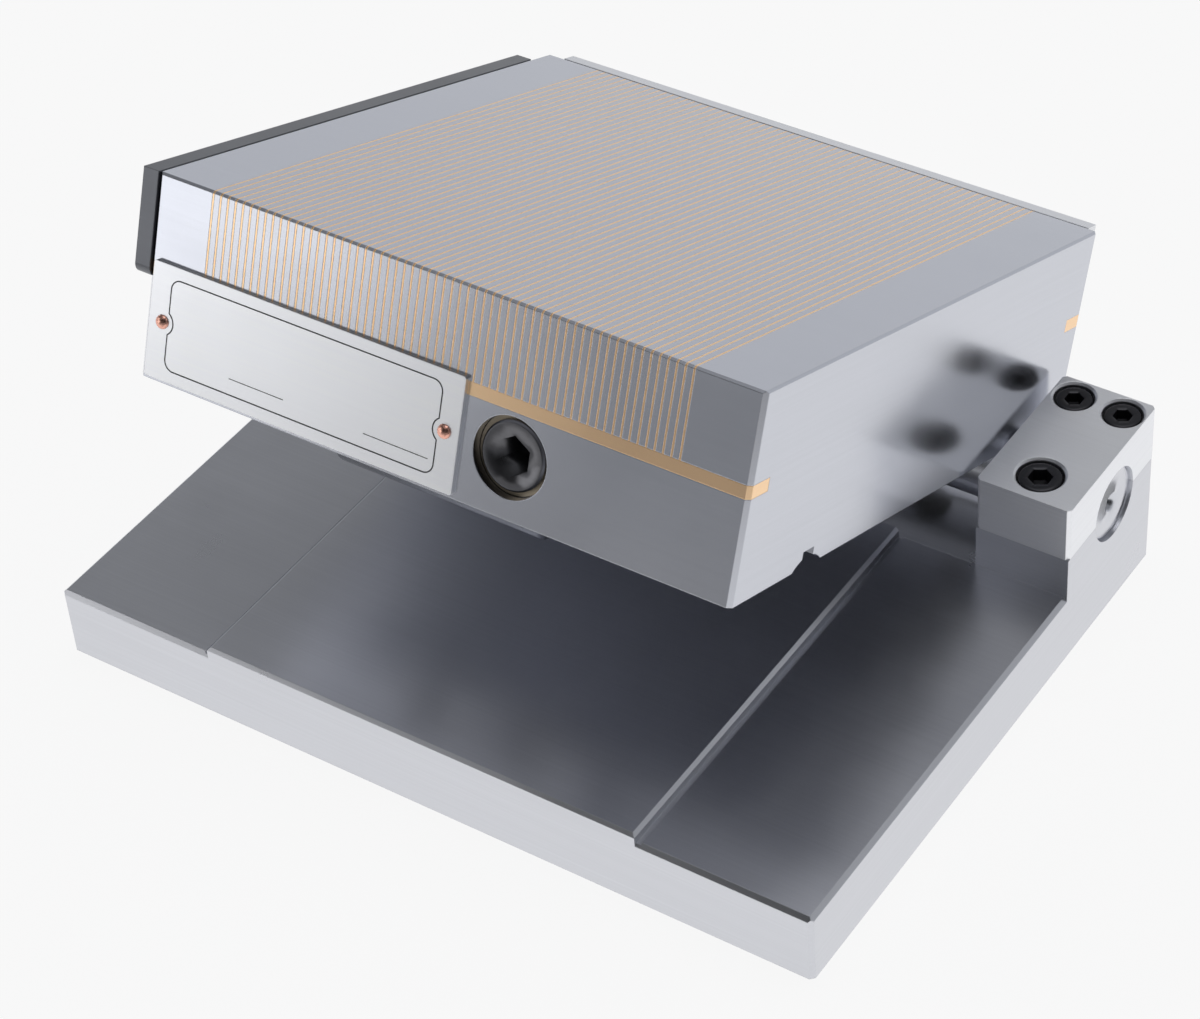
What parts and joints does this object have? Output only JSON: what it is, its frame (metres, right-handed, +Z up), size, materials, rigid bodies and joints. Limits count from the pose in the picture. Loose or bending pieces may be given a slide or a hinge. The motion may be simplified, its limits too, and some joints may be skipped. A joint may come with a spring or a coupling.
{
  "type": "magnetic chuck sine plate",
  "caption": "Fine pole permanent magnetic chuck on a sine plate, hinged at the rear on a hardened roll and set to an angle with gauge blocks under its front roll.",
  "frame": {"origin": "centre of the underside of the base plate", "axes": "+X along the hinge roll, to the right when facing the front; +Y from the front edge to the hinge; +Z up"},
  "size_m": [0.2, 0.1749, 0.1261],
  "materials": {
    "ground_steel": "surface ground",
    "chuck_steel": "surface ground",
    "pole_steel": "surface ground",
    "bright_steel": "cylindrically ground",
    "stop_steel": "ground",
    "dark_steel": "dark oxide, satin",
    "black_oxide": "black oxide",
    "brass": "ground",
    "copper": "drawn",
    "aluminium": "machined",
    "plate_aluminium": "satin",
    "magnet": "sintered"
  },
  "bodies": {
    "sine_base": {"base": "ground_steel", "hinge_caps": "ground_steel", "clamp_screws": "black_oxide", "fixing_screws": "black_oxide"},
    "chuck": {"chuck_housing": "chuck_steel", "bottom_cover": "chuck_steel", "cover_screws": "black_oxide", "front_brass_bar": "brass", "rear_brass_bar": "brass", "steel_poles": "pole_steel", "brass_spacers": "brass", "hinge_roll": "bright_steel", "sine_roll": "bright_steel", "roll_screws": "black_oxide", "slide_strips": "brass", "stop_screw": "black_oxide", "side_stop_screws": "black_oxide", "rear_stop_screws": "black_oxide", "nameplate": "plate_aluminium", "nameplate_rivets": "copper"},
    "cam": {"cam_shaft": "black_oxide"},
    "carriage": {"magnet_carriage": "aluminium", "magnets": "magnet", "flux_bars": "pole_steel"},
    "side_stop_plate": {"side_stop": "dark_steel"},
    "rear_stop_plate": {"rear_stop": "stop_steel"}
  },
  "joints": [
    {"name": "sine_hinge", "type": "hinge", "parent": "sine_base", "child": "chuck", "pos_m": [0, 0.0568, 0.0296], "axis": [-1, 0, 0], "range_deg": [-20.9, 24]},
    {"name": "cam_turn", "type": "hinge", "parent": "chuck", "child": "cam", "pos_m": [0.0201, -0.04852, 0.09177], "axis": [0, 0.9336, -0.3584], "range_deg": [0, 180]},
    {"name": "carriage_slide", "type": "slide", "parent": "chuck", "child": "carriage", "axis": [1, 0, 0], "range_m": [0, 0.005]},
    {"name": "side_stop_slide", "type": "slide", "parent": "chuck", "child": "side_stop_plate", "axis": [0, 0.3584, 0.9336], "range_m": [0, 0.006]},
    {"name": "rear_stop_slide", "type": "slide", "parent": "chuck", "child": "rear_stop_plate", "axis": [0, 0.3584, 0.9336], "range_m": [0, 0.006]}
  ],
  "couplings": [
    {"joint": "cam_turn", "follows": "carriage_slide", "rad_per_m": 628.32}
  ]
}
